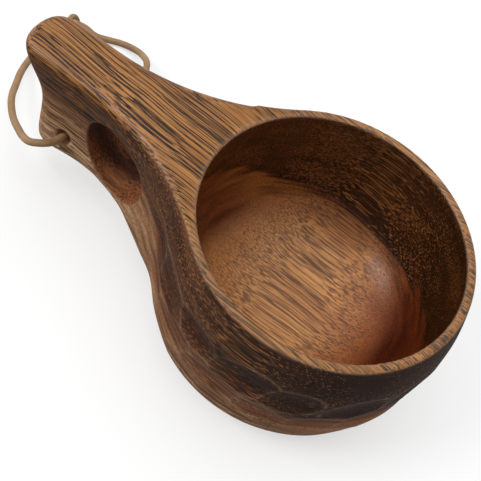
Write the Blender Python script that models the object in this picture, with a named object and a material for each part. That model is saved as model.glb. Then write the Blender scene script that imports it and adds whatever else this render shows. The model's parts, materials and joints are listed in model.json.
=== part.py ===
"""A kuksa: a drinking cup carved from one block of wood, with a leather lanyard through its handle.

Metres, +Z up, standing on z = 0. The handle points along -X, and the origin lies under the middle
of the wooden body's length. Along the body, reach is the distance from the bowl's axis towards the
end of the handle, and depth is the distance below the rim.
"""

import math

import bmesh
import bpy
from mathutils import Matrix, Vector

for old in list(bpy.data.objects):
    bpy.data.objects.remove(old, do_unlink=True)

# Bowl
CUP_HEIGHT = 0.055
MOUTH_RADIUS = 0.0400
RIM_WALL = 0.0027
RIM_EDGE = 0.0006
BELLY_SWELL = 0.0044
BELLY_DEPTH = 0.024
BELLY_FULLNESS = 3.05
BASE_RADIUS = 0.029
FLOOR_THICKNESS = 0.007
HOLLOW_SWELL = 0.0018
HOLLOW_SWELL_DEPTH = 0.018
HOLLOW_FULLNESS = 2.6

# Handle, carved out of the same block
HANDLE_REACH = 0.1079
NECK_WIDTH = 0.0200
NECK_TAPER = 0.0021
END_WIDTH = 0.0206
END_ROUND = 0.0080
END_SQUARENESS = 2.3
END_TUCK = 0.0066
END_TUCK_DEPTH = 0.026
END_TUCK_LENGTH = 0.030
FLARE_RADIUS = 0.078
FLARE_CUT = 0.018
FLARE_TAPER = 0.007
WAIST_CUT = 0.0024
WAIST_DEPTH = 0.0215
WAIST_SPAN = 0.0200
HANDLE_EDGE = 0.0030
UNDERSIDE_DEPTH = 0.0415
UNDERSIDE_DROP = 0.0032
UNDERSIDE_ARCH = 0.070
UNDERSIDE_TURN = 0.006
UNDERSIDE_SQUARENESS = 2.6
ROOT_REACH = 0.066
ROOT_DROP = 0.0085
ROOT_TURN = 0.005

# Holes bored across the handle
FINGER_HOLE_RADIUS = 0.0131
FINGER_HOLE_REACH = 0.0672
FINGER_HOLE_DEPTH = 0.0233
LACE_HOLE_RADIUS = 0.0028
LACE_HOLE_REACH = 0.0883
LACE_HOLE_DEPTH = 0.0325

# Leather lace: it lies in the lower outer quarter of its hole, and runs straight past both mouths
LACE_DIAMETER = 0.0025
LACE_CLEARANCE = 0.0003
LACE_SEAT_ANGLE = math.radians(225)
LACE_STRAIGHT = 0.0090
LACE_STEP = 0.0050

# Knot that closes the loop: a lump along the lace, with the lace's two ends trimmed short beside it
KNOT_RADIUS = 0.0033
KNOT_LENGTH = 0.0044
KNOT_LEAD = 0.0046
KNOT_TAIL = 0.0065
KNOT_TAIL_WAYS = [(-0.62, -0.78, -0.08), (0.60, -0.78, -0.20)]
KNOT_PLACE = Vector((-0.1005, 0.0502, 0.0036))

# Free stretches of the lace, from the knot to the near mouth of the hole and from the far mouth back
LACE_NEAR = [
    (-0.1000, 0.0405, 0.0018),
    (-0.0998, 0.0350, 0.0014),
    (-0.0990, 0.0280, 0.0019),
    (-0.0975, 0.0223, 0.0028),
    (-0.0952, 0.0162, 0.0041),
    (-0.0918, 0.0097, 0.0058),
    (-0.0880, 0.0032, 0.0080),
    (-0.0832, -0.0025, 0.0106),
    (-0.0779, -0.0074, 0.0134),
    (-0.0731, -0.0108, 0.0158),
    (-0.0687, -0.0136, 0.0184),
    (-0.0650, -0.0150, 0.0207),
    (-0.0625, -0.0145, 0.0219),
    (-0.0606, -0.0132, 0.0223),
    (-0.0593, -0.0113, 0.0221),
]
LACE_FAR = [
    (-0.0588, 0.0113, 0.0214),
    (-0.0588, 0.0170, 0.0203),
    (-0.0590, 0.0260, 0.0170),
    (-0.0599, 0.0355, 0.0132),
    (-0.0615, 0.0440, 0.0103),
    (-0.0641, 0.0497, 0.0080),
    (-0.0688, 0.0545, 0.0050),
    (-0.0748, 0.0570, 0.0024),
    (-0.0805, 0.0565, 0.0014),
    (-0.0843, 0.0546, 0.0014),
    (-0.0896, 0.0520, 0.0017),
]

# Colours and finish
WOOD = (0.250, 0.125, 0.058)
OILED_ROUGHNESS = 0.45
LEATHER = (0.270, 0.165, 0.085)
LEATHER_ROUGHNESS = 0.60
SMOOTH_UP_TO = math.radians(40)

# Facets: points round a half section, places where the body is cut across, and sides of round pieces
TOP_POINTS = 3
EDGE_POINTS = 3
SIDE_POINTS = 22
SCAN_POINTS = 200
BASE_STATIONS = 6
ROOT_STATIONS = 18
HANDLE_STATIONS = 15
END_STATIONS = 7
BOWL_STEP = math.radians(4.5)
HOLLOW_POINTS = 18
HOLLOW_WALL_POINTS = 4
LIP_POINTS = 3
HOLLOW_STEPS = 80
FINGER_HOLE_SIDES = 56
LACE_HOLE_SIDES = 20
LACE_SPAN_POINTS = 12
KNOT_SIDES = 16
KNOT_RINGS = 10
STUB_SIDES = 10
WELD_DISTANCE = 1e-5

# Worked out from the sizes above
RIM_RADIUS = MOUTH_RADIUS + RIM_WALL
BELLY_RADIUS = RIM_RADIUS + BELLY_SWELL
BOWL_X = (HANDLE_REACH - BELLY_RADIUS) / 2
CUT_MARGIN = 0.010
QUARTER = math.pi / 2


def turn_in(share, squareness):
    """A rounded corner: 1 at share 0, falling to 0 at share 1."""
    share = min(1.0, max(0.0, share))
    return (1 - share**squareness) ** (1 / squareness)


def eased(share):
    """0 to 1 with soft ends."""
    share = min(1.0, max(0.0, share))
    return share * share * (3 - 2 * share)


def belly(depth):
    """Radius of the bowl's outside: a swell below the rim, then a full turn in to the flat base."""
    if depth <= BELLY_DEPTH:
        return BELLY_RADIUS - BELLY_SWELL * (1 - depth / BELLY_DEPTH) ** 2
    fall = (depth - BELLY_DEPTH) / (CUP_HEIGHT - BELLY_DEPTH)
    return BASE_RADIUS + (BELLY_RADIUS - BASE_RADIUS) * turn_in(fall, BELLY_FULLNESS)


def belly_depth(reach):
    """Depth at which the bowl's outside has turned in to this radius."""
    if reach <= BASE_RADIUS:
        return CUP_HEIGHT
    out = (reach - BASE_RADIUS) / (BELLY_RADIUS - BASE_RADIUS)
    return BELLY_DEPTH + (CUP_HEIGHT - BELLY_DEPTH) * turn_in(out, BELLY_FULLNESS)


def arc_drop(gap, radius):
    """How far a rounded edge has fallen away at this gap from its end."""
    inside = min(radius, max(0.0, radius - gap))
    return radius - math.sqrt(radius**2 - inside**2)


def waist(depth):
    """How far the handle's sides are hollowed: 1 at mid height, 0 at the top and bottom edges."""
    off = min(1.0, abs(depth - WAIST_DEPTH) / WAIST_SPAN)
    return math.cos(QUARTER * off) ** 2


def rootward(reach):
    """0 along the handle, rising to 1 where its root meets the bowl."""
    return eased((ROOT_REACH - reach) / (ROOT_REACH - BELLY_RADIUS))


def underside(reach):
    """Depth of the handle's underside: arched along the handle, and falling into the bowl at its root."""
    arch = eased((reach - UNDERSIDE_ARCH) / (HANDLE_REACH - UNDERSIDE_ARCH))
    return UNDERSIDE_DEPTH + UNDERSIDE_DROP * arch + ROOT_DROP * rootward(reach)


def half_width(reach, depth):
    """Half the body's width: the bowl's circle, or the handle that flares out of it."""
    radius = belly(depth)
    bowl = math.sqrt(max(0.0, radius**2 - reach**2))
    neck = NECK_WIDTH / 2 - WAIST_CUT * waist(depth) - NECK_TAPER * depth / CUP_HEIGHT
    flare = FLARE_RADIUS - FLARE_CUT * waist(depth) - FLARE_TAPER * depth / CUP_HEIGHT
    centre = math.sqrt((radius + flare) ** 2 - (neck + flare) ** 2)
    if reach <= centre * radius / (radius + flare):
        return bowl
    if reach < centre:
        side = neck + flare - math.sqrt(flare**2 - (centre - reach) ** 2)
    else:
        along = (reach - centre) / (HANDLE_REACH - centre)
        side = neck + (END_WIDTH - NECK_WIDTH) / 2 * along**2
    side *= turn_in(1 - (HANDLE_REACH - reach) / END_ROUND, END_SQUARENESS)
    turn = UNDERSIDE_TURN + ROOT_TURN * rootward(reach)
    side *= turn_in(1 - (underside(reach) - depth) / turn, UNDERSIDE_SQUARENESS)
    return max(bowl, side)


def spaced(line, count):
    """count points at even distances along a line of points, without its first."""
    run = [0.0]
    for a, b in zip(line, line[1:]):
        run.append(run[-1] + (b - a).length)
    points = []
    i = 0
    for k in range(1, count + 1):
        want = run[-1] * k / count
        while i < len(line) - 2 and run[i + 1] < want:
            i += 1
        span = run[i + 1] - run[i]
        share = (want - run[i]) / span if span else 1.0
        points.append(line[i].lerp(line[i + 1], min(1.0, share)))
    return points


def half_section(reach):
    """One side of the body cut across: top middle, over the edge, down the side to the bottom middle."""
    gap = HANDLE_REACH - reach
    rim_end = RIM_RADIUS / 2
    edge = RIM_EDGE + (HANDLE_EDGE - RIM_EDGE) * eased((reach - rim_end) / (ROOT_REACH - rim_end))
    top = arc_drop(gap, HANDLE_EDGE)
    bottom = belly_depth(reach)
    if reach > BASE_RADIUS:
        bottom = max(bottom, underside(reach)) - arc_drop(gap, HANDLE_EDGE)
    shoulder = half_width(reach, top + edge)
    edge = min(edge, shoulder)
    flat = [Vector((0, top)), Vector((shoulder - edge, top))]
    corner = []
    for k in range(SCAN_POINTS + 1):
        turn = QUARTER * k / SCAN_POINTS
        corner.append(flat[1] + Vector((edge * math.sin(turn), edge - edge * math.cos(turn))))
    side = [corner[-1]]
    for k in range(1, SCAN_POINTS):
        depth = top + edge + (bottom - top - edge) * math.sin(QUARTER * k / (SCAN_POINTS - 1))
        side.append(Vector((half_width(reach, depth), depth)))
    side.append(Vector((0, bottom)))
    outline = [flat[0]] + spaced(flat, TOP_POINTS)
    outline += spaced(corner, EDGE_POINTS) + spaced(side, SIDE_POINTS)
    fade = eased(1 - gap / END_TUCK_LENGTH)
    points = []
    for half, depth in outline:
        tuck = END_TUCK * fade * eased(depth / END_TUCK_DEPTH)
        points.append(Vector((BOWL_X - reach + tuck, half, CUP_HEIGHT - depth)))
    return points


def stations():
    """Where the body is cut across: closer at the handle's root, and closest round its end."""
    end = HANDLE_REACH - END_ROUND
    places = []
    for start, stop, count in (
        (0.0, BASE_RADIUS, BASE_STATIONS),
        (BASE_RADIUS, ROOT_REACH, ROOT_STATIONS),
        (ROOT_REACH, end, HANDLE_STATIONS),
    ):
        places += [start + (stop - start) * k / count for k in range(count)]
    places += [end + END_ROUND * math.sin(QUARTER * k / END_STATIONS) for k in range(END_STATIONS + 1)]
    return places


def finish_material(name, colour, roughness):
    """A plain material with the piece's own colour and gloss."""
    material = bpy.data.materials.new(name)
    material.use_nodes = True
    shader = material.node_tree.nodes["Principled BSDF"]
    shader.inputs["Base Color"].default_value = (*colour, 1)
    shader.inputs["Roughness"].default_value = roughness
    shader.inputs["Metallic"].default_value = 0
    return material


def placed(name, bm):
    """A named object from a finished bmesh."""
    mesh = bpy.data.meshes.new(name)
    bm.to_mesh(mesh)
    bm.free()
    made = bpy.data.objects.new(name, mesh)
    bpy.context.collection.objects.link(made)
    return made


def finish(name, bm, colour, roughness):
    """A smooth-shaded piece with its own material."""
    piece = placed(name, bm)
    piece.data.shade_smooth()
    piece.data.set_sharp_from_angle(angle=SMOOTH_UP_TO)
    piece.data.materials.append(finish_material(name, colour, roughness))
    return piece


def use_tool(piece, name, bm, operation):
    """Cuts or joins a piece with a hidden helper, which stays live on it."""
    helper = placed(name, bm)
    helper.hide_render = True
    helper.display_type = "WIRE"
    change = piece.modifiers.new(name, "BOOLEAN")
    change.operation = operation
    change.solver = "EXACT"
    change.object = helper
    return helper


def carved_blank():
    """The body's outside: sections lofted along the handle, then spun round the far half of the bowl."""
    bm = bmesh.new()
    rings = [[bm.verts.new(p) for p in half_section(reach)] for reach in reversed(stations())]
    for ring, following in zip(rings, rings[1:]):
        for k in range(len(ring) - 1):
            bm.faces.new((ring[k], ring[k + 1], following[k + 1], following[k]))
    last = rings[-1]
    edges = [bm.edges.get(pair) for pair in zip(last, last[1:])]
    bmesh.ops.spin(
        bm,
        geom=last + edges,
        cent=(BOWL_X, 0, 0),
        axis=(0, 0, -1),
        angle=QUARTER,
        steps=round(QUARTER / BOWL_STEP),
    )
    bmesh.ops.remove_doubles(bm, verts=bm.verts, dist=WELD_DISTANCE)
    half = bm.verts[:] + bm.edges[:] + bm.faces[:]
    bmesh.ops.mirror(bm, geom=half, axis="Y", merge_dist=WELD_DISTANCE)
    bmesh.ops.remove_doubles(bm, verts=bm.verts, dist=WELD_DISTANCE)
    bmesh.ops.triangulate(bm, faces=bm.faces)
    bmesh.ops.recalc_face_normals(bm, faces=bm.faces)
    return bm


def hollow():
    """The turned inside of the bowl, standing out past the rim with a rounded lip."""
    floor = CUP_HEIGHT - FLOOR_THICKNESS
    widest = MOUTH_RADIUS + HOLLOW_SWELL
    profile = []
    for k in range(HOLLOW_POINTS + 1):
        share = math.sin(QUARTER * k / HOLLOW_POINTS)
        fall = turn_in(share, HOLLOW_FULLNESS)
        profile.append((widest * share, HOLLOW_SWELL_DEPTH + (floor - HOLLOW_SWELL_DEPTH) * fall))
    for k in range(1, HOLLOW_WALL_POINTS):
        share = k / HOLLOW_WALL_POINTS
        depth = HOLLOW_SWELL_DEPTH + (RIM_EDGE - HOLLOW_SWELL_DEPTH) * share
        profile.append((widest - HOLLOW_SWELL * share**2, depth))
    for k in range(LIP_POINTS + 1):
        turn = QUARTER * k / LIP_POINTS
        profile.append((MOUTH_RADIUS + RIM_EDGE * (1 - math.cos(turn)), RIM_EDGE * (1 - math.sin(turn))))
    profile.append((MOUTH_RADIUS + RIM_EDGE, -CUT_MARGIN))
    profile.append((0, -CUT_MARGIN))
    bm = bmesh.new()
    verts = [bm.verts.new((BOWL_X + radius, 0, CUP_HEIGHT - depth)) for radius, depth in profile]
    edges = [bm.edges.new(pair) for pair in zip(verts, verts[1:])]
    bmesh.ops.spin(
        bm,
        geom=verts + edges,
        cent=(BOWL_X, 0, 0),
        axis=(0, 0, 1),
        angle=2 * math.pi,
        steps=HOLLOW_STEPS,
        use_merge=True,
    )
    bmesh.ops.remove_doubles(bm, verts=bm.verts, dist=WELD_DISTANCE)
    bmesh.ops.recalc_face_normals(bm, faces=bm.faces)
    return bm


def bore(reach, depth, radius, sides):
    """A round cutter across the handle, standing out past both of its sides."""
    across = Matrix.Rotation(QUARTER, 4, "X")
    place = Matrix.Translation((BOWL_X - reach, 0, CUP_HEIGHT - depth))
    bm = bmesh.new()
    bmesh.ops.create_cone(
        bm,
        cap_ends=True,
        segments=sides,
        radius1=radius,
        radius2=radius,
        depth=2 * (half_width(reach - radius, depth) + CUT_MARGIN),
        matrix=place @ across,
    )
    return bm


def spline_point(t, marks, points):
    """The point at t of a smooth curve past four points, by blending neighbours and then their blends."""
    for span in (1, 2):
        points = [
            p.lerp(q, (t - marks[i]) / (marks[i + span] - marks[i]))
            for i, (p, q) in enumerate(zip(points, points[1:]))
        ]
    return points[0].lerp(points[1], (t - marks[1]) / (marks[2] - marks[1]))


def smooth_line(points):
    """A smooth curve through all the points, as a fine line."""
    padded = [points[0] * 2 - points[1]] + points + [points[-1] * 2 - points[-2]]
    line = []
    for four in zip(padded, padded[1:], padded[2:], padded[3:]):
        marks = [0.0]
        for p, q in zip(four, four[1:]):
            marks.append(marks[-1] + math.sqrt((q - p).length))
        for k in range(LACE_SPAN_POINTS):
            t = marks[1] + (marks[2] - marks[1]) * k / LACE_SPAN_POINTS
            line.append(spline_point(t, marks, four))
    return line + [points[-1]]


def lace_seat():
    """Where the lace lies in its hole: against the wall, with its clearance."""
    off = LACE_HOLE_RADIUS - LACE_DIAMETER / 2 - LACE_CLEARANCE
    return Vector((
        BOWL_X - LACE_HOLE_REACH + off * math.cos(LACE_SEAT_ANGLE),
        0,
        CUP_HEIGHT - LACE_HOLE_DEPTH + off * math.sin(LACE_SEAT_ANGLE),
    ))


def knot_leads():
    """The two ways in which the lace leaves the knot, towards its near and its far stretch."""
    return [(Vector(p) - KNOT_PLACE).normalized() for p in (LACE_NEAR[0], LACE_FAR[-1])]


def lace(name):
    """The lace as one tube, from the knot through its hole and back to the knot."""
    seat = lace_seat()
    inside = [seat + Vector((0, y, 0)) for y in (-LACE_STRAIGHT, 0, LACE_STRAIGHT)]
    first, last = (KNOT_PLACE + way * (KNOT_LEAD + LACE_CLEARANCE) for way in knot_leads())
    near = [Vector(p) for p in LACE_NEAR]
    far = [Vector(p) for p in LACE_FAR]
    fine = smooth_line([first] + near + inside + far + [last])
    length = sum((b - a).length for a, b in zip(fine, fine[1:]))
    points = [fine[0]] + spaced(fine, round(length / LACE_STEP))
    curve = bpy.data.curves.new(name, "CURVE")
    curve.dimensions = "3D"
    curve.bevel_depth = LACE_DIAMETER / 2
    curve.bevel_resolution = 2
    curve.use_fill_caps = True
    spline = curve.splines.new("POLY")
    spline.points.add(len(points) - 1)
    for point, place in zip(spline.points, points):
        point.co = (*(place - seat), 1)
    curve.materials.append(finish_material(name, LEATHER, LEATHER_ROUGHNESS))
    tube = bpy.data.objects.new(name, curve)
    bpy.context.collection.objects.link(tube)
    print(f"lace {length * 1000:.1f} mm from knot to knot")
    return tube


def knot_lump(centre, along):
    """The knot's body: a ball drawn out along the lace."""
    turn = along.to_track_quat("X", "Z").to_matrix().to_4x4()
    bm = bmesh.new()
    bmesh.ops.create_uvsphere(bm, u_segments=KNOT_SIDES, v_segments=KNOT_RINGS, radius=KNOT_RADIUS)
    bmesh.ops.scale(bm, vec=(KNOT_LENGTH / KNOT_RADIUS, 1, 1), verts=bm.verts)
    bmesh.ops.transform(bm, matrix=Matrix.Translation(centre) @ turn, verts=bm.verts)
    return bm


def stub(start, way):
    """A short end of the lace that starts inside the knot."""
    turn = way.to_track_quat("Z", "X").to_matrix().to_4x4()
    bm = bmesh.new()
    bmesh.ops.create_cone(
        bm,
        cap_ends=True,
        segments=STUB_SIDES,
        radius1=LACE_DIAMETER / 2,
        radius2=LACE_DIAMETER / 2,
        depth=way.length,
        matrix=Matrix.Translation(start + way / 2) @ turn,
    )
    return bm


# The body is carved first, then hollowed and bored
cup_body = finish("cup_body", carved_blank(), WOOD, OILED_ROUGHNESS)
finger_hole = bore(FINGER_HOLE_REACH, FINGER_HOLE_DEPTH, FINGER_HOLE_RADIUS, FINGER_HOLE_SIDES)
lace_hole = bore(LACE_HOLE_REACH, LACE_HOLE_DEPTH, LACE_HOLE_RADIUS, LACE_HOLE_SIDES)
use_tool(cup_body, "cut_hollow", hollow(), "DIFFERENCE")
use_tool(cup_body, "cut_finger_hole", finger_hole, "DIFFERENCE")
use_tool(cup_body, "cut_lace_hole", lace_hole, "DIFFERENCE")

# The loop turns about the stretch of lace that lies in the hole, so both of its pieces hang on that point
swing = bpy.data.objects.new("lanyard_swing", None)
bpy.context.collection.objects.link(swing)
swing.location = lace_seat()
lanyard_cord = lace("lanyard_cord")
lanyard_cord.parent = swing

# The knot is joined from its lump, the two leads that meet the lace and the two trimmed tails
near_lead, far_lead = knot_leads()
knot_centre = KNOT_PLACE - swing.location
lump = knot_lump(knot_centre, near_lead - far_lead)
lanyard_knot = finish("lanyard_knot", lump, LEATHER, LEATHER_ROUGHNESS)
lanyard_knot.parent = swing
lace_ends = [near_lead * KNOT_LEAD, far_lead * KNOT_LEAD]
lace_ends += [Vector(way).normalized() * KNOT_TAIL for way in KNOT_TAIL_WAYS]
for k, end in enumerate(lace_ends):
    use_tool(lanyard_knot, f"join_end_{k}", stub(knot_centre, end), "UNION").parent = swing
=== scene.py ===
import json
import math
import random

import bmesh
import bpy
import numpy as np
from mathutils import Matrix, Vector


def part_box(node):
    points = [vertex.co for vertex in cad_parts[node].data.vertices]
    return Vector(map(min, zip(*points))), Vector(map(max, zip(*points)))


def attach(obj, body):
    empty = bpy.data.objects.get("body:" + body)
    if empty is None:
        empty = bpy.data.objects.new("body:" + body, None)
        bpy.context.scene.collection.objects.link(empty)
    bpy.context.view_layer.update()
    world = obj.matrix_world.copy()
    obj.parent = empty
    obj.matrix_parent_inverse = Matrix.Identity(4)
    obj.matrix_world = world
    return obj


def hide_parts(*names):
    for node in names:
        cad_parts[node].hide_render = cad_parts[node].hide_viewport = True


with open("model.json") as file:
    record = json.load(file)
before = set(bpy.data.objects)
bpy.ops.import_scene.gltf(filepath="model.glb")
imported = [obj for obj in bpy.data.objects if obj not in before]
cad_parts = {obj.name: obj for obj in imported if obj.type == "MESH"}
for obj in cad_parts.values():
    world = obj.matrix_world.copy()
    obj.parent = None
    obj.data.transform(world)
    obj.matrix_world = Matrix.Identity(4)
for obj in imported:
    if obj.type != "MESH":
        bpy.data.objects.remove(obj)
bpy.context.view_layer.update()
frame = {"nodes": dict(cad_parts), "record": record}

# The cup is carved from one block of open-grained brown hardwood. Its bowl and rim are turned smooth,
# the handle is shaped, bored and sanded, and the outside of the bowl is left with the gouge's shallow cuts.
rim_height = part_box("cup_body")[1].z
bowl_x = frame["record"]["mounts"][0]["pos_m"][0]
finger_hole_x = -0.0368
finger_hole_z = 0.0317
finger_hole_radius = 0.0131
even_mesh = 0.00060
same_point = 0.00001
crisp_angle = math.radians(20)
crisp_rings = 2
sanding_rounds = 50
sanding_strength = 0.5
kept_faces = 0.58

carved = bmesh.new()
carved.from_mesh(frame["nodes"]["cup_body"].data)
bmesh.ops.remove_doubles(carved, verts=carved.verts, dist=same_point)
blank = bpy.data.meshes.new("cup_blank")
carved.to_mesh(blank)
carved.free()
cup = bpy.data.objects.new("cup_carved", blank)
bpy.context.collection.objects.link(cup)
evening = cup.modifiers.new("even_mesh", "REMESH")
evening.mode = "VOXEL"
evening.voxel_size = even_mesh
evening.adaptivity = 0
graph = bpy.context.evaluated_depsgraph_get()
even = bpy.data.meshes.new_from_object(cup.evaluated_get(graph))
cup.modifiers.clear()
cup.data = even


def sand(shape, verts):
    """One light pass of sandpaper over some of the wood."""
    bmesh.ops.smooth_vert(
        shape, verts=verts, factor=sanding_strength, use_axis_x=True, use_axis_y=True, use_axis_z=True
    )


def fade(values, span):
    """0 up to the start of the span and 1 past its end, evenly between; the end may be the lower one."""
    start, end = span
    return np.clip((values - start) / (end - start), 0, 1)


# The edges of the rim and the holes stay crisp, and the open wood between them is sanded.
carved = bmesh.new()
carved.from_mesh(even)
sand(carved, carved.verts)
carved.normal_update()
crisp = set()
for edge in carved.edges:
    if edge.verts[0].normal.angle(edge.verts[1].normal, 0) > crisp_angle:
        crisp.update(edge.verts)
for ring in range(crisp_rings):
    crisp.update([edge.other_vert(vert) for vert in list(crisp) for edge in vert.link_edges])
open_wood = [vert for vert in carved.verts if vert not in crisp]
for sanding in range(sanding_rounds):
    sand(carved, open_wood)
sand(carved, carved.verts)
carved.normal_update()

# The bowl's outer radius at each height is read from the wall opposite the handle. The cuts fade out where
# the handle leaves that radius, where the wall turns upwards or down, and just above the table.
wall_levels = 45
wall_level_reach = 0.0012
wall_half_turn = 1.2
wall_facing = 0.1
smallest_radius = 0.001
cuts_off_wall = (0.0045, 0.0010)
cuts_facing = (wall_facing, 0.4)
cuts_to_table = (rim_height - 0.004, rim_height - 0.008)
hollow_side = -0.002
place = np.array([vert.co for vert in carved.verts])
facing = np.array([vert.normal for vert in carved.verts])
across = place[:, :2] - (bowl_x, 0)
radius = np.linalg.norm(across, axis=1)
turn = np.arctan2(across[:, 1], across[:, 0])
below = rim_height - place[:, 2]
outward = (facing[:, :2] * across).sum(axis=1) / np.maximum(radius, smallest_radius)
far_wall = (np.abs(turn) < wall_half_turn) & (outward > wall_facing)
levels = np.linspace(0, rim_height, wall_levels)
wall = [radius[far_wall & (np.abs(below - level) < wall_level_reach)].max() for level in levels]
bowl_radius = np.interp(below, levels, wall)
beyond = radius - bowl_radius
on_bowl = fade(beyond, cuts_off_wall) * fade(outward, cuts_facing) * fade(below, cuts_to_table)
on_bowl[beyond < hollow_side] = 0

# Each row of cuts sits this far under the rim, and the rows are staggered by half a cut. The hand that
# makes them wanders, lifts, leans and presses a little differently each time.
cut_rows = [0.0185, 0.0300, 0.0405]
cut_row_depth = [1, 0.95, 0.6]
cuts_in_row = 17
cut_pitch = math.radians(21.2)
cut_start = math.radians(-107.8)
cut_half_length = 0.0112
cut_half_height = 0.0066
cut_depth = 0.0011
cut_wander = 0.07
cut_lift = 0.0019
cut_sink = 0.0015
cut_lean = 0.32
cut_sizes = (0.86, 1.18)
ridge_width = 0.10
far_from_cuts = -9.0
cut_hand = random.Random(7)
deepest = np.full(len(place), far_from_cuts)
second = np.zeros(len(place))
for row, level in enumerate(cut_rows):
    for count in range(cuts_in_row):
        wander = cut_hand.uniform(-cut_wander, cut_wander)
        middle = cut_start + (count + 0.5 * (row % 2)) * cut_pitch + wander
        drop = level + cut_hand.uniform(-cut_lift, cut_sink)
        lean = cut_hand.uniform(-cut_lean, cut_lean)
        size = cut_hand.uniform(*cut_sizes)
        along = bowl_radius * ((turn - middle + math.pi) % (2 * math.pi) - math.pi)
        down = below - drop
        length = (along * math.cos(lean) + down * math.sin(lean)) / (cut_half_length * size)
        height = (down * math.cos(lean) - along * math.sin(lean)) / (cut_half_height * size)
        share = cut_row_depth[row] * (1 - length**2 - height**2)
        second = np.maximum(second, np.minimum(deepest, share))
        deepest = np.maximum(deepest, share)
cut = np.clip(deepest, 0, 1)
ridge = np.exp(-(((deepest - second) / ridge_width) ** 2)) * on_bowl
scooped = cut * on_bowl

# The finish needs to know which wood lies inside, in the bore, on the rounded shoulder or outside.
inside_wall = 0.0014
inside_floor = 0.003
bore_edge = (finger_hole_radius + 0.0007, finger_hole_radius + 0.0001)
outside_tilt = (0.75, 0.35)
shoulder_tilt = 0.74
shoulder_spread = 0.18
shoulder_off_wall = (0.002, 0.008)
shoulder_under_rim = (0.016, 0.010)
inside = (beyond < -inside_wall) & (below < rim_height - inside_floor)
from_bore = np.hypot(place[:, 0] - finger_hole_x, place[:, 2] - finger_hole_z)
bored = fade(from_bore, bore_edge)
outside = fade(facing[:, 2], outside_tilt) * ~inside * (1 - bored)
shoulder = np.exp(-(((facing[:, 2] - shoulder_tilt) / shoulder_spread) ** 2))
shoulder *= fade(beyond, shoulder_off_wall) * fade(below, shoulder_under_rim) * (1 - bored)

place -= facing * (cut_depth * scooped)[:, None]
for vert, spot in zip(carved.verts, place):
    vert.co = spot
sand(carved, open_wood)
carved.normal_update()

# The wood is marked paler where it bulges, partly from wear and partly as a painted highlight, but less on
# the ridges between the cuts. End grain shows where the surface faces along the block.
wear_and_highlight_bulge = (0.03, 0.13)
ridges_spared = 0.7
end_grain_falloff = 1.5
bulge = {}
for vert in carved.verts:
    rise = [vert.normal.dot((vert.co - edge.other_vert(vert).co).normalized()) for edge in vert.link_edges]
    bulge[vert] = sum(rise) / len(rise)
bulge_near = []
for vert in carved.verts:
    near = [bulge[edge.other_vert(vert)] for edge in vert.link_edges]
    bulge_near.append((bulge[vert] + sum(near)) / (1 + len(near)))
wear_and_edge_highlight = fade(np.array(bulge_near), wear_and_highlight_bulge) * (1 - ridges_spared * ridge)
for face in carved.faces:
    face.smooth = True
carved.to_mesh(even)
carved.free()
end_grain = [abs(vert.normal.x) ** end_grain_falloff for vert in even.vertices]
surface_marks = {
    "wear_and_edge_highlight": wear_and_edge_highlight, "end_grain": end_grain, "scooped": scooped, "ridge": ridge,
    "inside": inside.astype(float), "bored": bored, "shoulder": shoulder, "outside": outside,
}
for name, values in surface_marks.items():
    even.attributes.new(name, "FLOAT", "POINT").data.foreach_set("value", values)
thinning = cup.modifiers.new("thin_flat_stretches", "DECIMATE")
thinning.ratio = kept_faces


def tint(red, green, blue):
    """A colour from the values that a paint chart gives, 0 to 255, as Blender's linear light."""
    parts = [value / 255 for value in (red, green, blue)]
    light = [p / 12.92 if p <= 0.04045 else ((p + 0.055) / 1.055) ** 2.4 for p in parts]
    return (*light, 1)


def feed(finish, socket, value):
    """Plugs another node's socket in, or sets a fixed value."""
    if isinstance(value, bpy.types.NodeSocket):
        finish.node_tree.links.new(value, socket)
    else:
        socket.default_value = value


def node(finish, kind, inputs=None, **settings):
    """One shader node with its settings and its inputs, each a socket or a fixed value."""
    made = finish.node_tree.nodes.new("ShaderNode" + kind)
    for name, value in settings.items():
        setattr(made, name, value)
    for name, value in (inputs or {}).items():
        feed(finish, made.inputs[name], value)
    return made


def new_finish(name):
    """A material with a plain surface, to be dressed."""
    finish = bpy.data.materials.new(name)
    finish.use_nodes = True
    return finish


def dress(finish, inputs):
    """Gives the finish's surface its colour, gloss and relief."""
    surface = finish.node_tree.nodes["Principled BSDF"]
    for name, value in inputs.items():
        feed(finish, surface.inputs[name], value)


def ramp(finish, source, stops):
    """A colour ramp through the given (place, colour) stops."""
    made = node(finish, "ValToRGB", {"Fac": source})
    row = made.color_ramp.elements
    while len(row) < len(stops):
        row.new(1)
    for stop, (spot, colour) in zip(row, stops):
        stop.position = spot
        stop.color = colour
    return made.outputs["Color"]


def mixed(finish, kind, amount, first, second):
    """Two colours put together in the given share."""
    inputs = {0: amount, 6: first, 7: second}
    return node(finish, "Mix", inputs, data_type="RGBA", blend_type=kind).outputs[2]


def sums(finish, operation, first, *others):
    """Numbers put together one after another."""
    total = first
    for other in others:
        total = node(finish, "Math", {0: total, 1: other}, operation=operation).outputs[0]
    return total


def spread(finish, source, span, to=(0, 1), soft=False):
    """A number stretched from one span to another, and held inside it."""
    inputs = {"Value": source, "From Min": span[0], "From Max": span[1], "To Min": to[0], "To Max": to[1]}
    easing = "SMOOTHSTEP" if soft else "LINEAR"
    return node(finish, "MapRange", inputs, interpolation_type=easing).outputs[0]


def moved(finish, operation, first, second):
    """Two places or directions put together."""
    return node(finish, "VectorMath", {0: first, 1: second}, operation=operation).outputs[0]


def grain(finish, spot, size, detail=0, rough=0.5):
    """Noise drawn out along the block: size is how long, wide and tall one mark is, in metres."""
    turned = {"Vector": spot, "Rotation": (0, 0, grain_turn), "Scale": size}
    drawn = node(finish, "Mapping", turned, vector_type="TEXTURE").outputs[0]
    noise = {"Vector": drawn, "Scale": 1, "Detail": detail, "Roughness": rough}
    return node(finish, "TexNoise", noise).outputs["Fac"]


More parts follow.
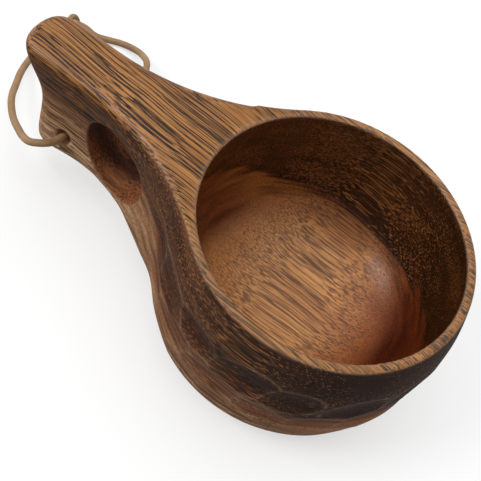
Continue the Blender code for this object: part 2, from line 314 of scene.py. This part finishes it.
def surface_mark(finish, name):
    """How far a point of the piece bears one of its marks, 0 to 1."""
    return node(finish, "Attribute", attribute_name=name).outputs["Fac"]


# The grain runs along the block, a little turned, and sways sideways and up.
grain_turn = math.radians(-4)
sway_scale = 13
sway_reach = (0, 0.008, 0.012)
wood = new_finish("oiled_wood")
block = node(wood, "TexCoord").outputs["Object"]
sway = node(wood, "TexNoise", {"Vector": block, "Scale": sway_scale, "Detail": 2}).outputs["Color"]
sway = moved(wood, "SUBTRACT", sway, (0.5, 0.5, 0.5))
swayed = moved(wood, "ADD", block, moved(wood, "MULTIPLY", sway, sway_reach))
block_axes = node(wood, "SeparateXYZ", {"Vector": block}).outputs
swayed_axes = node(wood, "SeparateXYZ", {"Vector": swayed}).outputs
vessels = grain(wood, swayed, (0.085, 0.00055, 0.00055))
hairs = grain(wood, swayed, (0.060, 0.00040, 0.00040))
dashes = grain(wood, swayed, (0.0055, 0.00050, 0.00050))
groups = grain(wood, swayed, (0.085, 0.0045, 0.0035), detail=2)
flecks = grain(wood, swayed, (0.016, 0.00044, 0.00044), detail=1)
pores = grain(wood, swayed, (0.012, 0.00050, 0.00050), detail=1)
fibres = grain(wood, swayed, (0.030, 0.00024, 0.00024))
blotches = grain(wood, swayed, (0.045, 0.012, 0.007), detail=2)
bands = grain(wood, swayed, (0.110, 0.018, 0.0030), detail=4, rough=0.6)

# Open vessels draw long dark lines, in groups and broken into dashes. On the neck a slanting streak crowds
# them together, with a bare stretch beside it.
streak_slant = 0.25
streak_crowd = 0.050
streak_bare = -0.120
streak_back = 0.070
beside_streak = sums(wood, "ADD", sums(wood, "MULTIPLY", swayed_axes["X"], streak_slant), swayed_axes["Y"])
crowding = spread(wood, beside_streak, (-0.0020, 0.0010), (0, streak_crowd), soft=True)
thinning_out = spread(wood, beside_streak, (0.0045, 0.0070), (0, streak_bare), soft=True)
closing = spread(wood, beside_streak, (0.0120, 0.0180), (0, streak_back), soft=True)
streak_start = spread(wood, swayed_axes["X"], (-0.050, -0.036), soft=True)
streak_end = spread(wood, swayed_axes["X"], (-0.008, 0.004), (1, 0), soft=True)
streak = sums(wood, "ADD", crowding, thinning_out, closing)
streak = sums(wood, "MULTIPLY", streak, streak_start, streak_end)
vessel_mark = spread(wood, sums(wood, "ADD", vessels, streak), (0.574, 0.598), soft=True)
hair_mark = spread(wood, sums(wood, "ADD", hairs, streak), (0.574, 0.606), (0, 0.90), soft=True)
group_shade = spread(wood, groups, (0.32, 0.62), (0.78, 1))
dash_shade = spread(wood, dashes, (0.36, 0.50), (0.66, 1))
line_mark = sums(wood, "MAXIMUM", vessel_mark, hair_mark)
line_mark = sums(wood, "MULTIPLY", line_mark, group_shade, dash_shade)

# Under the pale top lies a dark layer, deeper towards the bowl and its sides, then red-brown and pale wood.
under_top = sums(wood, "SUBTRACT", rim_height, block_axes["Z"])
under = sums(wood, "SUBTRACT", rim_height, swayed_axes["Z"])
dark_lengthwise = spread(wood, block_axes["X"], (-0.076, 0.076), (0.0160, 0.0250))
dark_far_side = spread(wood, block_axes["Y"], (0, 0.045), (0, 0.0190))
dark_near_side = spread(wood, block_axes["Y"], (0, -0.045), (0, 0.0060))
dark_bottom = sums(wood, "ADD", dark_lengthwise, dark_far_side, dark_near_side)
depth_share = sums(wood, "DIVIDE", under, sums(wood, "MULTIPLY", dark_bottom, 2))
layer = sums(wood, "ADD", depth_share, spread(wood, bands, (0.3, 0.7), (-0.05, 0.05)))
inner_layers = ramp(wood, layer, [
    (0.00, tint(100, 62, 40)),
    (0.38, tint(90, 54, 34)),
    (0.465, tint(84, 50, 31)),
    (0.50, tint(168, 103, 56)),
    (0.56, tint(184, 115, 62)),
    (0.75, tint(156, 90, 50)),
    (1.00, tint(142, 82, 46)),
])
outer_layers = ramp(wood, layer, [
    (0.00, tint(108, 76, 55)),
    (0.32, tint(98, 68, 49)),
    (0.44, tint(122, 87, 64)),
    (0.54, tint(174, 130, 95)),
    (0.70, tint(210, 166, 126)),
    (1.00, tint(224, 184, 144)),
])
line_layers = ramp(wood, layer, [
    (0.00, tint(32, 22, 17)),
    (0.45, tint(34, 22, 16)),
    (0.52, tint(94, 58, 36)),
    (1.00, tint(98, 64, 42)),
])
in_dark = spread(wood, layer, (0.44, 0.50), (1, 0))
is_inside = surface_mark(wood, "inside")
is_outside = sums(wood, "SUBTRACT", 1, is_inside)

# Growth rings shade both walls, and inside a golden belt follows the dark layer's edge on the far side.
unshaded = (1, 1, 1, 1)
ring_strength = 0.80
ring_shade = tint(150, 138, 130)
belt_gold = tint(226, 152, 76)
rings = ramp(wood, bands, [(0.36, ring_shade), (0.60, unshaded)])
outer_wood = mixed(wood, "MULTIPLY", 1, outer_layers, rings)
gold_share = sums(
    wood, "MULTIPLY",
    spread(wood, block_axes["Y"], (0.006, 0.026), (0, 0.55), soft=True),
    spread(wood, layer, (0.48, 0.52)),
    spread(wood, layer, (0.62, 0.80), (1, 0.2)),
)
golden = mixed(wood, "MIX", gold_share, inner_layers, belt_gold)
inner_wood = mixed(wood, "MULTIPLY", ring_strength, golden, rings)
layer_wood = mixed(wood, "MIX", is_inside, outer_wood, inner_wood)

# Painted shade darkens the dark layer at the far end of the bowl, and golden flecks are scattered through
# it.
far_end_painted_shade = tint(116, 102, 92)
fleck_gold = tint(164, 108, 60)
fleck_strength = 0.80
far_inside = spread(wood, block_axes["X"], (0.030, 0.066), (0, 0.9), soft=True)
far_outside = spread(wood, block_axes["X"], (0.012, 0.055), (0, 0.9), soft=True)
far_inside = sums(wood, "MULTIPLY", far_inside, is_inside)
far_outside = sums(wood, "MULTIPLY", far_outside, is_outside)
in_far_end = sums(wood, "MULTIPLY", sums(wood, "ADD", far_inside, far_outside), in_dark)
layer_wood = mixed(wood, "MULTIPLY", in_far_end, layer_wood, far_end_painted_shade)
fleck_crowd = spread(wood, blotches, (0.3, 0.7), (-0.09, 0.09))
fleck_far_side = spread(wood, block_axes["Y"], (0, 0.040), (0, 0.07))
fleck_far_end = spread(wood, block_axes["X"], (0.030, 0.060), (0, -0.08))
fleck_push = sums(wood, "ADD", flecks, fleck_crowd, fleck_far_side, fleck_far_end)
fleck_mark = spread(wood, fleck_push, (0.565, 0.615), soft=True)
fleck_mark = sums(wood, "MULTIPLY", fleck_mark, in_dark, fleck_strength)
flecked = mixed(wood, "MIX", fleck_mark, layer_wood, fleck_gold)
across_grain = surface_mark(wood, "end_grain")
side_mark = sums(wood, "MULTIPLY", line_mark, spread(wood, across_grain, (0.02, 0.36), (1, 0.35)))
side_wood = mixed(wood, "MIX", side_mark, flecked, line_layers)

# The bowl's floor is golden, and red-brown where it turns up at the far end.
floor_line_strength = 0.95
floor_line = tint(110, 68, 38)
floor_turn_shade = tint(182, 150, 138)
belt_turn_shade = tint(158, 122, 112)
floor_tone = ramp(wood, blotches, [(0.35, tint(212, 146, 86)), (0.65, tint(236, 169, 101))])
floor_mark = sums(wood, "MULTIPLY", side_mark, floor_line_strength)
floor_wood = mixed(wood, "MIX", floor_mark, floor_tone, floor_line)
floor_turn = spread(wood, block_axes["X"], (0.036, 0.062), soft=True)
floor_wood = mixed(wood, "MULTIPLY", floor_turn, floor_wood, floor_turn_shade)
past_dark = sums(wood, "SUBTRACT", 1, in_dark)
belt_turn = spread(wood, block_axes["X"], (0.040, 0.066), soft=True)
belt_turn = sums(wood, "MULTIPLY", belt_turn, is_inside, past_dark)
side_wood = mixed(wood, "MULTIPLY", belt_turn, side_wood, belt_turn_shade)
floor_start = spread(wood, block_axes["X"], (-0.034, -0.010), (0.0280, 0.0415))
past_floor = spread(wood, sums(wood, "SUBTRACT", under, floor_start), (-0.0025, 0.0035), soft=True)
past_floor = sums(wood, "MULTIPLY", past_floor, is_inside)
side_wood = mixed(wood, "MIX", past_floor, side_wood, floor_wood)

# The finger hole is dark above, from the dark layer and painted shade, and painted shade darkens it deep in
# the middle of the handle; below it is red-brown.
bore_line_strength = 0.70
bore_line = tint(44, 27, 18)
bore_deep_painted_shade = tint(94, 72, 62)
in_bore = surface_mark(wood, "bored")
bore_tone = ramp(wood, spread(wood, under, (0.010, 0.037)), [
    (0.00, tint(20, 13, 11)),
    (0.40, tint(52, 32, 22)),
    (0.75, tint(180, 115, 73)),
    (1.00, tint(158, 99, 62)),
])
bore_mark = sums(wood, "MULTIPLY", line_mark, bore_line_strength)
bore_wood = mixed(wood, "MIX", bore_mark, bore_tone, bore_line)
from_middle = node(wood, "Math", {0: block_axes["Y"]}, operation="ABSOLUTE").outputs[0]
bore_deep_share = spread(wood, from_middle, (0, 0.0074), (0.90, 0), soft=True)
bore_wood = mixed(wood, "MULTIPLY", bore_deep_share, bore_wood, bore_deep_painted_shade)
side_wood = mixed(wood, "MIX", in_bore, side_wood, bore_wood)

# The top of the handle and the rim are a thin golden-brown layer with near-black lines.
top_line = tint(30, 17, 10)
top_tone = ramp(wood, blotches, [(0.35, tint(154, 103, 54)), (0.65, tint(182, 126, 68))])
top_wood = mixed(wood, "MIX", line_mark, top_tone, top_line)
top_depth = spread(wood, block_axes["X"], (-0.050, 0), (0.0032, 0.0004), soft=True)
past_top = spread(wood, sums(wood, "DIVIDE", under_top, top_depth), (0.6, 1.5), soft=True)
layered = mixed(wood, "MIX", past_top, top_wood, side_wood)

# End grain drinks more oil and is darker, and pores and fibres show everywhere.
end_grain_shade = tint(226, 206, 194)
pore_strength = 0.6
pore_shade = tint(128, 98, 78)
fibre_shade = tint(218, 212, 208)
ended = mixed(wood, "MULTIPLY", across_grain, layered, end_grain_shade)
pore_mark = spread(wood, pores, (0.65, 0.71))
pored = mixed(wood, "MULTIPLY", sums(wood, "MULTIPLY", pore_mark, pore_strength), ended, pore_shade)
fibrous = mixed(wood, "MULTIPLY", 1, pored, ramp(wood, fibres, [(0.3, fibre_shade), (0.7, unshaded)]))

# Painted shade makes the cuts a little darker, and painted highlights make the ridges between them and the
# shoulders paler; the bulging edges are paler from wear and a painted highlight.
cut_painted_shade = tint(206, 182, 172)
crest_painted_highlight = tint(158, 128, 104)
shoulder_painted_highlight = tint(188, 150, 126)
wear_and_highlight_pale = tint(182, 146, 118)
wear_and_highlight_strength = 0.28
cut_wood = mixed(wood, "MULTIPLY", surface_mark(wood, "scooped"), fibrous, cut_painted_shade)
crest_patches = spread(wood, bands, (0.40, 0.60), (0.05, 0.44))
crest_highlight_share = sums(wood, "MULTIPLY", surface_mark(wood, "ridge"), crest_patches)
crested = mixed(wood, "MIX", crest_highlight_share, cut_wood, crest_painted_highlight)
# A painted highlight runs along the rounded shoulder between the top and the sides, broken by the lines.
shoulder_highlight_share = sums(
    wood, "MULTIPLY",
    surface_mark(wood, "shoulder"),
    spread(wood, groups, (0.35, 0.65), (0.16, 0.66)),
    spread(wood, line_mark, (0, 1), (1, 0.12)),
)
shoulder_highlighted = mixed(wood, "MIX", shoulder_highlight_share, crested, shoulder_painted_highlight)
# Wear and a painted highlight make the bulging edges paler.
wear_and_highlight_share = sums(wood, "MULTIPLY", surface_mark(wood, "wear_and_edge_highlight"), wear_and_highlight_strength)
oiled = mixed(wood, "MIX", wear_and_highlight_share, shoulder_highlighted, wear_and_highlight_pale)

# Raw wood outside and in the bore is dull, and the inside has a smoother film of oil.
raw_dulling = 0.42
inside_polish = -0.08
oil_film_weight = 0.14
relief_depth = 0.00015
raw_wood = sums(wood, "MAXIMUM", surface_mark(wood, "outside"), in_bore)
dullness = sums(
    wood, "ADD",
    spread(wood, pores, (0.4, 0.7), (0.34, 0.48)),
    sums(wood, "MULTIPLY", raw_wood, raw_dulling),
    sums(wood, "MULTIPLY", is_inside, inside_polish),
)
relief = sums(wood, "SUBTRACT", fibres, sums(wood, "ADD", pore_mark, line_mark))
dress(wood, {
    "Base Color": oiled,
    "Roughness": dullness,
    "Specular IOR Level": 0.15,
    "Coat Weight": sums(wood, "MULTIPLY", is_inside, oil_film_weight),
    "Coat Roughness": 0.24,
    "Normal": node(wood, "Bump", {"Height": relief, "Strength": 0.3, "Distance": relief_depth}).outputs[0],
})
cup.data.materials.clear()
cup.data.materials.append(wood)
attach(cup, "cup")
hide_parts("cup_body")

# The lanyard is one smooth tan leather lace. It runs through the small hole in the handle's lower end and
# sags to the table on both sides. Its two ends meet behind the handle in an overhand knot, pulled tight
# with both ends together, and two short cut ends stand out of the knot.
lace_diameter = 0.0025
lace_hole = Vector(frame["record"]["behaviour"]["joints"][0]["pos_m"])
lace_route = [
    lace_hole + Vector((0, 0.0002, 0)),
    lace_hole + Vector((0, -0.0090, 0)),
    (-0.0593, -0.0113, 0.0221),
    (-0.0606, -0.0132, 0.0223),
    (-0.0625, -0.0145, 0.0219),
    (-0.0650, -0.0150, 0.0207),
    (-0.0687, -0.0136, 0.0184),
    (-0.0731, -0.0108, 0.0158),
    (-0.0779, -0.0074, 0.0134),
    (-0.0832, -0.0025, 0.0106),
    (-0.0880, 0.0032, 0.0080),
    (-0.0918, 0.0097, 0.0058),
    (-0.0952, 0.0162, 0.0041),
    (-0.0975, 0.0223, 0.0028),
    (-0.0990, 0.0280, 0.0019),
    (-0.0998, 0.0350, 0.0014),
    (-0.1000, 0.0405, 0.0018),
    (-0.1000, 0.0452, 0.0026),
    (-0.0987, 0.0492, 0.0033),
    (-0.0948, 0.0514, 0.0028),
    (-0.0896, 0.0520, 0.0017),
    (-0.0843, 0.0546, 0.0014),
    (-0.0805, 0.0565, 0.0014),
    (-0.0748, 0.0570, 0.0024),
    (-0.0688, 0.0545, 0.0050),
    (-0.0641, 0.0497, 0.0080),
    (-0.0615, 0.0440, 0.0103),
    (-0.0599, 0.0355, 0.0132),
    (-0.0590, 0.0260, 0.0170),
    (-0.0588, 0.0170, 0.0203),
    (-0.0588, 0.0113, 0.0214),
    lace_hole + Vector((0, 0.0090, 0)),
    lace_hole + Vector((0, 0.0010, 0)),
]
knot_middle = Vector((-0.0990, 0.0492, 0.0030))
knot_scale = 0.00102
knot_reach = 1.8
knot_rise = 1.25
knot_steps = 24
knot_tails = [
    [(-0.0018, -0.0020, 0.0006), (-0.0034, -0.0043, 0.0001), (-0.0050, -0.0068, -0.0014)],
    [(0.0020, -0.0018, 0.0006), (0.0038, -0.0040, 0.0000), (0.0052, -0.0064, -0.0015)],
]


def lace_curve(name, routes, closed=False):
    """A round lace through each of the routes, in one curve; closed makes the first a ring."""
    line = bpy.data.curves.new(name, "CURVE")
    line.dimensions = "3D"
    line.bevel_depth = lace_diameter / 2
    line.bevel_resolution = 5
    line.resolution_u = 8
    line.use_fill_caps = True
    for number, route in enumerate(routes):
        run = line.splines.new("BEZIER")
        run.bezier_points.add(len(route) - 1)
        run.use_cyclic_u = closed and number == 0
        for point, spot in zip(run.bezier_points, route):
            point.co = spot
            point.handle_left_type = "AUTO"
            point.handle_right_type = "AUTO"
    made = bpy.data.objects.new(name, line)
    bpy.context.collection.objects.link(made)
    return made


lace = lace_curve("lace_loop", [lace_route])
knot_turns = [math.radians(step * 360 / knot_steps) for step in range(knot_steps)]
knot_loop = [
    knot_middle + knot_scale * Vector((
        -math.sin(t) - knot_reach * math.sin(2 * t),
        knot_reach * math.cos(2 * t) - math.cos(t),
        -knot_rise * math.sin(3 * t),
    ))
    for t in knot_turns
]
tail_routes = [[knot_middle + Vector(way) for way in tail] for tail in knot_tails]
knot = lace_curve("lace_knot", [knot_loop, *tail_routes], closed=True)

mottle_scale = 140
pebble_scale = 2600
pebble_depth = 0.0001
leather = new_finish("tan_leather_lace")
hide = node(leather, "TexCoord").outputs["Object"]
mottle = node(leather, "TexNoise", {"Vector": hide, "Scale": mottle_scale, "Detail": 4}).outputs["Fac"]
tan = ramp(leather, mottle, [
    (0.30, tint(132, 101, 68)),
    (0.55, tint(156, 121, 83)),
    (0.75, tint(172, 138, 98)),
])
pebble = node(leather, "TexNoise", {"Vector": hide, "Scale": pebble_scale, "Detail": 2}).outputs["Fac"]
dress(leather, {
    "Base Color": tan,
    "Roughness": 0.62,
    "Normal": node(
        leather, "Bump", {"Height": pebble, "Strength": 0.25, "Distance": pebble_depth}
    ).outputs[0],
})
lace.data.materials.append(leather)
knot.data.materials.append(leather)
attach(knot, "lanyard")
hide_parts("lanyard_knot")
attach(lace, "lanyard")
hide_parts("lanyard_cord")

# The cup stands on a plain white table in a studio. One wide soft light hangs overhead and a smaller one
# stands at the front left, and the camera looks down on the cup as in the photograph.
table_half_size = 4
paper_shade = 0.35
paper_shade_seen = 0.42
paper_glow = 0.58
sky_level = 0.42
sky_level_seen = 1
softboxes = [
    ("overhead_softbox", 1.30, math.radians(60), (-0.10, 0.22, 1)),
    ("left_softbox", 1.30, math.radians(26), (-0.70, -0.40, 0.75)),
]


def seen_share(finish):
    """1 where the camera sees it, directly or in gloss or glass, and 0 where it only gives light."""
    ray = node(finish, "LightPath").outputs
    return sums(finish, "ADD", ray["Is Camera Ray"], ray["Is Glossy Ray"], ray["Is Transmission Ray"])


floor_mesh = bpy.data.meshes.new("table_top")
table = bmesh.new()
bmesh.ops.create_grid(table, x_segments=1, y_segments=1, size=table_half_size)
table.to_mesh(floor_mesh)
table.free()
table_top = bpy.data.objects.new("table_top", floor_mesh)
bpy.context.collection.objects.link(table_top)
paper = new_finish("white_paper")
paper_seen = seen_share(paper)
grey_paper = (paper_shade, paper_shade, paper_shade, 1)
grey_paper_seen = (paper_shade_seen, paper_shade_seen, paper_shade_seen, 1)
dress(paper, {
    "Base Color": mixed(paper, "MIX", paper_seen, grey_paper, grey_paper_seen),
    "Roughness": 1,
    "Specular IOR Level": 0,
    "Emission Color": (1, 1, 1, 1),
    "Emission Strength": sums(paper, "MULTIPLY", paper_seen, paper_glow),
})
floor_mesh.materials.append(paper)

studio = bpy.data.worlds.new("studio")
bpy.context.scene.world = studio
studio.use_nodes = True
sky = studio.node_tree.nodes["Background"]
feed(studio, sky.inputs["Color"], (1, 1, 1, 1))
feed(studio, sky.inputs["Strength"], spread(studio, seen_share(studio), (0, 1), (sky_level, sky_level_seen)))
for name, strength, width, way in softboxes:
    lamp = bpy.data.lights.new(name, "SUN")
    lamp.energy = strength
    lamp.angle = width
    softbox = bpy.data.objects.new(name, lamp)
    softbox.rotation_euler = Vector(way).to_track_quat("Z", "Y").to_euler()
    bpy.context.collection.objects.link(softbox)

photo_pixels = 481
focal_pixels = 800
view_turn = math.radians(10.4925)
view_rise = math.radians(55.7127)
view_roll = math.radians(26.8539)
view_place = (0.03329, -0.14034, 0.23160)
view_back = Vector((
    math.sin(view_turn) * math.cos(view_rise),
    -math.cos(view_turn) * math.cos(view_rise),
    math.sin(view_rise),
))
level_right = Vector((math.cos(view_turn), math.sin(view_turn), 0))
level_up = view_back.cross(level_right)
view_right = math.cos(view_roll) * level_right + math.sin(view_roll) * level_up
view_up = view_back.cross(view_right)
view_axes = Matrix((view_right, view_up, view_back)).transposed().to_4x4()
camera_data = bpy.data.cameras.new("camera")
camera_data.sensor_width = 36
camera_data.lens = focal_pixels / photo_pixels * camera_data.sensor_width
camera_data.clip_start = 0.01
camera = bpy.data.objects.new("camera", camera_data)
camera.matrix_world = Matrix.Translation(view_place) @ view_axes
bpy.context.collection.objects.link(camera)
bpy.context.scene.camera = camera
bpy.context.scene.view_settings.view_transform = "Standard"
